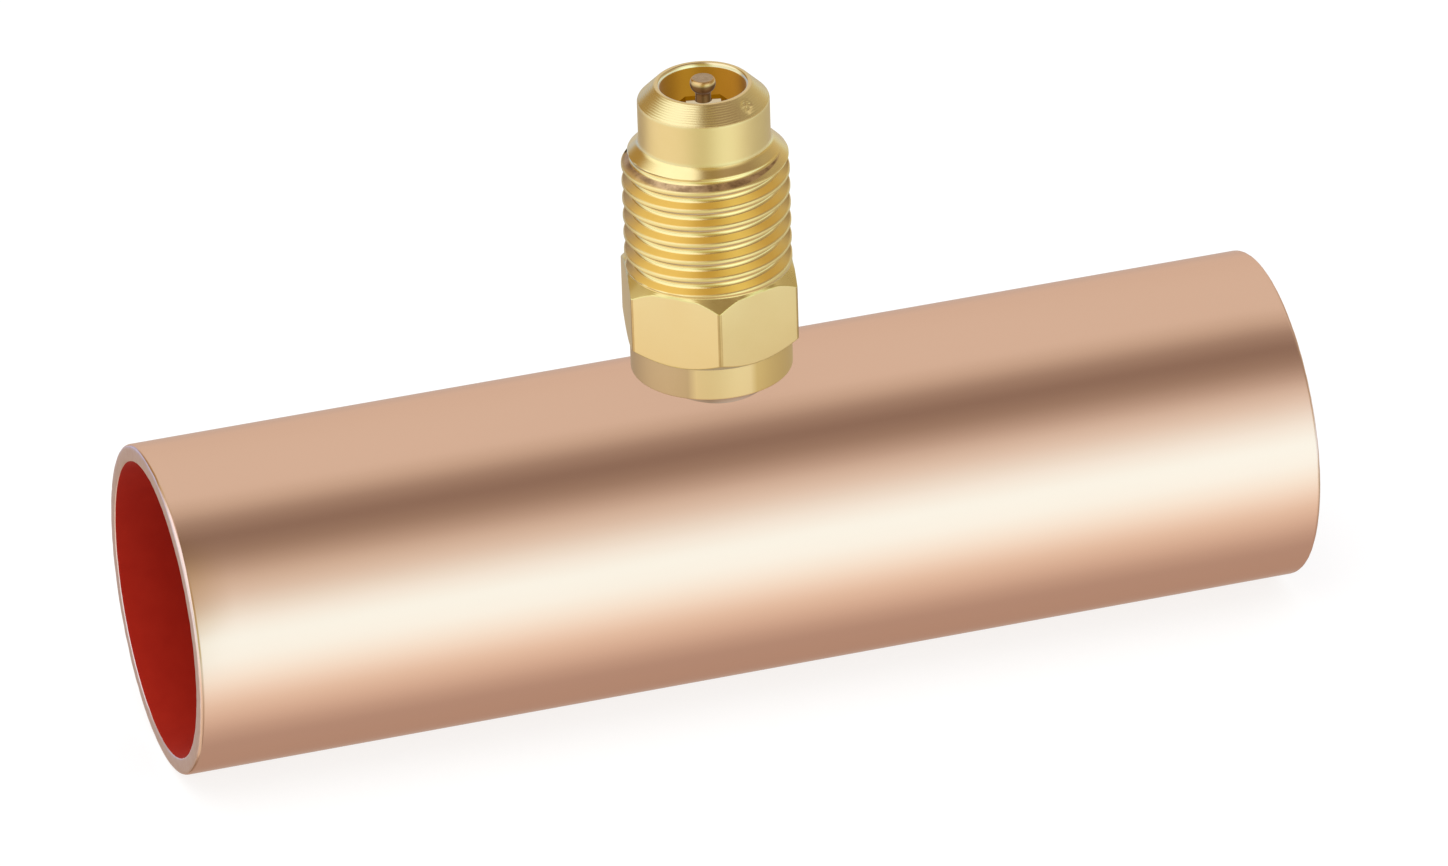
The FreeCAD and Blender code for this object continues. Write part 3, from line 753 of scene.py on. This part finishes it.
def threaded_brass():
    """The thread: satin crests, bright rounded roots, and flanks painted deep gold as reflection of each
    other.
    """
    material, tree, shader, place = new_material("threaded_brass")
    # The flanks below are shaded far from the way they face, which this correction would spoil
    material.cycles.use_bump_map_correction = False
    clouds = speckle(tree, place, 1.3)
    grain = speckle(tree, place, 0.09)
    nicks = speckle(tree, place, 0.16, (1.0, 1.0, 0.5))
    level = add_node(tree, "VectorMath", {"operation": "MULTIPLY"}, _0=place, _1=(1.0, 1.0, 0.0)).outputs[0]
    out = add_node(tree, "VectorMath", {"operation": "LENGTH"}, _0=level).outputs["Value"]
    outward = add_node(tree, "VectorMath", {"operation": "NORMALIZE"}, _0=level).outputs[0]
    outward = add_node(tree, "VectorMath", {"operation": "ADD"}, _0=outward, _1=(0.0, 0.0, 0.42)).outputs[0]
    height = add_node(tree, "SeparateXYZ", _0=place).outputs[2]
    facing = add_node(tree, "TexCoord").outputs["Normal"]
    upward = add_node(tree, "SeparateXYZ", _0=facing).outputs[2]
    crest = thread_radius / mm
    sunk = rising(tree, out, crest - 0.04, crest - 0.12)
    sloping = rising(tree, upward, 0.74, 0.82)
    flank = calculate(tree, "MULTIPLY", sunk, sloping)
    # The last groove, under the nose, is mottled dark and pale brown instead of deep gold
    last_groove = rising(tree, height, 26.45, 26.7)
    colour = mix(tree, clouds, (0.96, 0.715, 0.28), (1.0, 0.765, 0.33))
    # Painted reflection: deep gold in the flanks stands in for each flank mirrored in the one across the
    # groove
    deep = mix(tree, clouds, (0.85, 0.46, 0.085), (0.94, 0.52, 0.105))
    last_groove_mottle = rising(tree, speckle(tree, place, 0.9), 0.38, 0.62)
    last_groove_mottle = calculate(tree, "MULTIPLY_ADD", nicks, 0.5, calculate(tree, "MULTIPLY", last_groove_mottle, 0.5))
    dull = mix(tree, last_groove_mottle, (0.22, 0.11, 0.045), (0.84, 0.55, 0.27))
    colour = mix(tree, flank, colour, mix(tree, last_groove, deep, dull))
    tree.links.new(colour, shader.inputs["Base Color"])
    shader.inputs["Metallic"].default_value = 1.0
    shader.inputs["Specular Tint"].default_value = (0.90, 0.96, 1.0, 1.0)
    rough = mix(tree, sunk, between(tree, nicks, 0.30, 0.46), (0.2, 0.2, 0.2))
    tree.links.new(mix(tree, flank, rough, (0.4, 0.4, 0.4)), shader.inputs["Roughness"])
    # A flank seen in the flank across the groove looks like an upright wall
    mirrored_share = calculate(tree, "MULTIPLY_ADD", last_groove, -0.6, 1.0)
    mirrored_share = calculate(tree, "MULTIPLY", mirrored_share, flank)
    turned = mix(tree, mirrored_share, facing, outward)
    turned = add_node(tree, "VectorMath", {"operation": "NORMALIZE"}, _0=turned).outputs[0]
    relief = calculate(tree, "MULTIPLY_ADD", nicks, 0.6, calculate(tree, "MULTIPLY", grain, 0.4))
    marks = add_node(tree, "Bump", Strength=0.3, Distance=0.01 * mm, Height=relief, Normal=turned)
    tree.links.new(marks.outputs[0], shader.inputs["Normal"])
    return material


satin_nose = satin_brass("satin_nose", (0.89, 0.65, 0.27), (0.96, 0.71, 0.33), (0.38, 0.48))
turned_cone = satin_brass("turned_cone", (0.89, 0.69, 0.29), (0.97, 0.77, 0.36), (0.20, 0.30), 0.12, 0.9)
# Painted shade: the bored mouth is dark brown in place of the shade and reflections down inside it
mouth_painted_shade = satin_brass(
    "mouth_painted_shade", (0.42, 0.17, 0.012), (0.54, 0.235, 0.022), (0.40, 0.52), 0.16, 0.3, (0.84, 0.80, 0.74),
)
worn_rim = satin_brass("worn_rim", (0.85, 0.64, 0.31), (0.94, 0.74, 0.40), (0.12, 0.2), 0.08, 0.3)
add_materials(valve_port, threaded_brass(), satin_nose, turned_cone, mouth_painted_shade, worn_rim)
on_nose, on_cone, on_mouth, on_rim = 1, 2, 3, 4
for face in valve_port.data.polygons:
    centre = face.center
    out = math.hypot(centre.x, centre.y)
    if centre.z > rim_height - 0.3 * mm and out < rim_radius + 0.02 * mm:
        face.material_index = on_rim
    elif out < mouth_radius + 0.02 * mm:
        face.material_index = on_mouth
    elif centre.z > cone_foot + 0.05 * mm:
        face.material_index = on_cone
    elif centre.z > nose_foot:
        face.material_index = on_nose
valve_port.visible_glossy = False
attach(valve_port, "fitting")
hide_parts("valve_body")


# The joint: a copper-coloured brazing alloy, run in with a torch round the spigot. It joins the
# collar's level shoulder, a little back from its edge, to the round tube, and sets with a soft
# hollow face.
braze_shoulder_radius = 4.9 * mm
braze_foot_radius = 4.2 * mm
braze_inner_radius = 4.0 * mm
braze_side_spread = 0.5 * mm
braze_sink = 0.03 * mm
braze_steps = 12


def braze_outline(angle):
    """Section of the ring in one direction round the valve, as a closed run of points."""
    tube_at_foot = math.sqrt(tube_radius**2 - (braze_foot_radius * math.sin(angle)) ** 2)
    tube_at_neck = math.sqrt(tube_radius**2 - (braze_inner_radius * math.sin(angle)) ** 2)
    spread = braze_side_spread * (1.0 - abs(math.sin(angle)))
    edge = Vector((braze_shoulder_radius, shoulder_height))
    foot = Vector((braze_foot_radius + spread, tube_at_foot - braze_sink))
    bend = Vector((foot.x - 0.02 * mm, shoulder_height - 0.05 * mm))
    spots = [(braze_inner_radius, tube_at_neck), (braze_inner_radius, shoulder_height)]
    for step in range(braze_steps + 1):
        share = step / braze_steps
        spots.append(tuple(edge * (1 - share) ** 2 + bend * 2 * share * (1 - share) + foot * share**2))
    return spots


braze_columns = 144
columns = []
for column in range(braze_columns):
    angle = math.tau * column / braze_columns
    outline = braze_outline(angle)
    columns.append([(math.cos(angle) * out, math.sin(angle) * out, height) for out, height in outline])
braze_ring = new_object(
    "braze_ring", in_rows(columns), skin_faces(len(columns[0]), braze_columns, closed=True),
)
shade_smooth(braze_ring, 60.0)


def braze_alloy_painted_shade():
    """Brazing alloy as it set: a satin skin with slow ripples, darkened to brown as painted shade under the
    collar's edge.
    """
    material, tree, shader, place = new_material("braze_alloy_painted_shade")
    ripples = speckle(tree, place, 0.8)
    grain = speckle(tree, place, 0.08)
    # Painted shade: the alloy is darkened to match the shade under the collar
    colour = mix(tree, ripples, (0.48, 0.31, 0.22), (0.60, 0.40, 0.29))
    tree.links.new(colour, shader.inputs["Base Color"])
    shader.inputs["Metallic"].default_value = 1.0
    tree.links.new(between(tree, grain, 0.28, 0.42), shader.inputs["Roughness"])
    raise_marks(tree, shader, ripples, 0.15, 0.04 * mm)
    return material


add_materials(braze_ring, braze_alloy_painted_shade())
braze_ring.visible_glossy = False
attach(braze_ring, "fitting")
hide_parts("braze_fillet")


# The valve core's fixed parts: a screwed brass plug with a milled bridge, the brass barrel that
# it traps below, and the white plastic packing ring that seals the barrel in the body.
core_brass = satin_brass("core_brass", (0.86, 0.74, 0.45), (0.95, 0.84, 0.58), (0.2, 0.32), 0.07, 0.5)


def plug_brass_painted_light():
    """The plug: painted shade makes it as brown as the mouth round it, with a painted highlight along the
    front of its bridge.
    """
    material, tree, shader, place = new_material("plug_brass_painted_light")
    grain = speckle(tree, place, 0.2)
    along, across = add_node(tree, "SeparateXYZ", _0=place).outputs[:2]
    depth = calculate(tree, "MULTIPLY_ADD", along, 0.21, across)
    near = rising(tree, depth, 0.0, -0.12)
    upward = add_node(tree, "SeparateXYZ", _0=add_node(tree, "TexCoord").outputs["Normal"]).outputs[2]
    # Painted highlight: up-facing faces towards the front turn pale
    painted_highlight_share = calculate(tree, "MULTIPLY", near, rising(tree, upward, 0.9, 0.97))
    # Painted shade: dark brown, as down in the mouth
    brown = mix(tree, grain, (0.30, 0.13, 0.008), (0.42, 0.19, 0.015))
    tree.links.new(mix(tree, painted_highlight_share, brown, (0.98, 0.88, 0.66)), shader.inputs["Base Color"])
    shader.inputs["Metallic"].default_value = 1.0
    shader.inputs["Specular Tint"].default_value = (0.6, 0.45, 0.3, 1.0)
    tree.links.new(between(tree, grain, 0.25, 0.4), shader.inputs["Roughness"])
    raise_marks(tree, shader, grain, 0.2, 0.01 * mm)
    return material


def waxy_plastic():
    """White fluoroplastic: smooth, a little waxy, with faint flow marks."""
    material, tree, shader, place = new_material("waxy_plastic")
    flow = speckle(tree, place, 0.4)
    colour = mix(tree, flow, (0.80, 0.80, 0.77), (0.88, 0.88, 0.86))
    tree.links.new(colour, shader.inputs["Base Color"])
    shader.inputs["Roughness"].default_value = 0.4
    shader.inputs["Subsurface Weight"].default_value = 0.1
    raise_marks(tree, shader, flow, 0.05, 0.02 * mm)
    return material


add_materials(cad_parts["core_plug"], plug_brass_painted_light())
add_materials(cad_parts["core_barrel"], core_brass)
add_materials(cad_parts["core_packing"], waxy_plastic())
for name in ("core_plug", "core_barrel", "core_packing"):
    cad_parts[name].visible_glossy = False


# The valve core's pin: turned brass, mottled by handling, with a small rounded head that a
# hose's depressor pushes down. Its shoulder rests on the spring and its lower end is spread.
pin_radius = 0.51 * mm
pin_head_radius = 0.854 * mm
pin_head_flat_radius = 0.66 * mm
pin_top = 32.4025 * mm
pin_neck = 31.22 * mm
pin_shoulder_radius = 0.95 * mm
pin_shoulder_top = 24.7125 * mm
pin_shoulder_bottom = 24.2625 * mm
stem_radius = 0.45 * mm
spread_top = 16.5125 * mm
pin_bottom = 16.0125 * mm
innermost = 0.1 * mm
pin_outline = [
    (innermost, pin_top), (pin_head_flat_radius - 0.06 * mm, pin_top),
    (pin_head_flat_radius, pin_top - 0.01 * mm), (0.73 * mm, pin_top - 0.05 * mm),
    (0.79 * mm, pin_top - 0.12 * mm), (0.83 * mm, pin_top - 0.22 * mm),
    (0.85 * mm, pin_top - 0.33 * mm), (pin_head_radius, pin_top - 0.42 * mm),
    (0.845 * mm, pin_top - 0.54 * mm), (0.81 * mm, pin_top - 0.67 * mm),
    (0.74 * mm, pin_top - 0.79 * mm), (0.66 * mm, pin_top - 0.88 * mm),
    (0.59 * mm, pin_top - 0.94 * mm), (0.53 * mm, pin_top - 1.0 * mm), (pin_radius, pin_neck),
    (pin_radius, 30.0 * mm), (pin_radius, 28.0 * mm), (pin_radius, pin_shoulder_top),
    (pin_shoulder_radius, pin_shoulder_top), (pin_shoulder_radius, pin_shoulder_bottom),
    (stem_radius, pin_shoulder_bottom), (stem_radius, 20.0 * mm), (stem_radius, spread_top),
    (0.72 * mm, spread_top), (0.75 * mm, 16.45 * mm), (0.70 * mm, 16.1 * mm),
    (0.5 * mm, pin_bottom), (innermost, pin_bottom),
]
pin_columns = 64
pin_piece = new_object(
    "depressor_pin", turned_points(pin_outline, pin_columns),
    skin_faces(len(pin_outline), pin_columns) + end_faces(len(pin_outline), pin_columns),
)
shade_smooth(pin_piece, 50.0)


def pin_brass_painted_light():
    """Turned brass gone brown: a mottled grey-brown top, a painted highlight on the side, and painted shade
    on the underside and stem.
    """
    material, tree, shader, place = new_material("pin_brass_painted_light")
    mottle = speckle(tree, place, 0.22)
    grain = speckle(tree, place, 0.05)
    upward = add_node(tree, "SeparateXYZ", _0=add_node(tree, "TexCoord").outputs["Normal"]).outputs[2]
    colour = mix(tree, mottle, (0.36, 0.25, 0.15), (0.64, 0.49, 0.34))
    # Painted highlight: faces tilted from level, on the head's side, are a brighter gold
    colour = mix(tree, rising(tree, upward, 0.95, 0.8), colour, (0.76, 0.47, 0.18))
    # Painted shade: faces turned down, and the stem, are dark brown
    colour = mix(tree, rising(tree, upward, 0.3, 0.05), colour, (0.20, 0.10, 0.035))
    tree.links.new(colour, shader.inputs["Base Color"])
    shader.inputs["Metallic"].default_value = 1.0
    shader.inputs["Specular Tint"].default_value = (0.84, 0.80, 0.74, 1.0)
    tree.links.new(between(tree, grain, 0.18, 0.34), shader.inputs["Roughness"])
    raise_marks(tree, shader, mottle, 0.15, 0.02 * mm)
    return material


add_materials(pin_piece, pin_brass_painted_light())
pin_piece.visible_glossy = False
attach(pin_piece, "pin")
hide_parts("core_pin")


# The spring: hard drawn steel wire, coiled cold round the pin's stem. It stands between the
# barrel's ledge and the pin's shoulder, and shortens as the pin goes down.
wire_radius = 0.13 * mm
coil_radius = 0.78 * mm
coil_bottom = 19.2125 * mm
coil_top = 24.1125 * mm
coil_turns = 5.0
coil_steps = 200
wire_sides = 12
points = []
for step in range(coil_steps + 1):
    share = step / coil_steps
    angle = math.tau * coil_turns * share
    height = coil_bottom + (coil_top - coil_bottom) * share
    for side in range(wire_sides):
        around = math.tau * side / wire_sides
        out = coil_radius + wire_radius * math.cos(around)
        lift = wire_radius * math.sin(around)
        points.append((math.cos(angle) * out, math.sin(angle) * out, height + lift))
rings = coil_steps + 1
coil = new_object("return_spring", points, skin_faces(rings, wire_sides) + end_faces(rings, wire_sides))
shade_smooth(coil, 60.0)


def spring_wire():
    """Bright steel wire with fine lines from the drawing die."""
    material, tree, shader, place = new_material("spring_wire")
    streaks = speckle(tree, place, 0.05)
    colour = mix(tree, streaks, (0.50, 0.49, 0.47), (0.62, 0.61, 0.60))
    tree.links.new(colour, shader.inputs["Base Color"])
    shader.inputs["Metallic"].default_value = 1.0
    tree.links.new(between(tree, streaks, 0.2, 0.32), shader.inputs["Roughness"])
    return material


add_materials(coil, spring_wire())
coil.visible_glossy = False
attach(coil, "fitting")
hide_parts("core_spring")
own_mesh(coil)


# The seal at the core's foot: a black rubber washer in a small pressed brass cup. The cup sits
# on the pin's stem, and the spring pulls the washer up against the barrel.
def soft_rubber():
    """Black seal rubber: matt, with a very fine moulded grain."""
    material, tree, shader, place = new_material("soft_rubber")
    grain = speckle(tree, place, 0.05)
    colour = mix(tree, grain, (0.012, 0.012, 0.012), (0.03, 0.03, 0.03))
    tree.links.new(colour, shader.inputs["Base Color"])
    shader.inputs["Roughness"].default_value = 0.7
    raise_marks(tree, shader, grain, 0.1, 0.01 * mm)
    return material


add_materials(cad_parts["core_cup"], core_brass)
add_materials(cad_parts["core_seat_washer"], soft_rubber())
for name in ("core_cup", "core_seat_washer"):
    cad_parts[name].visible_glossy = False
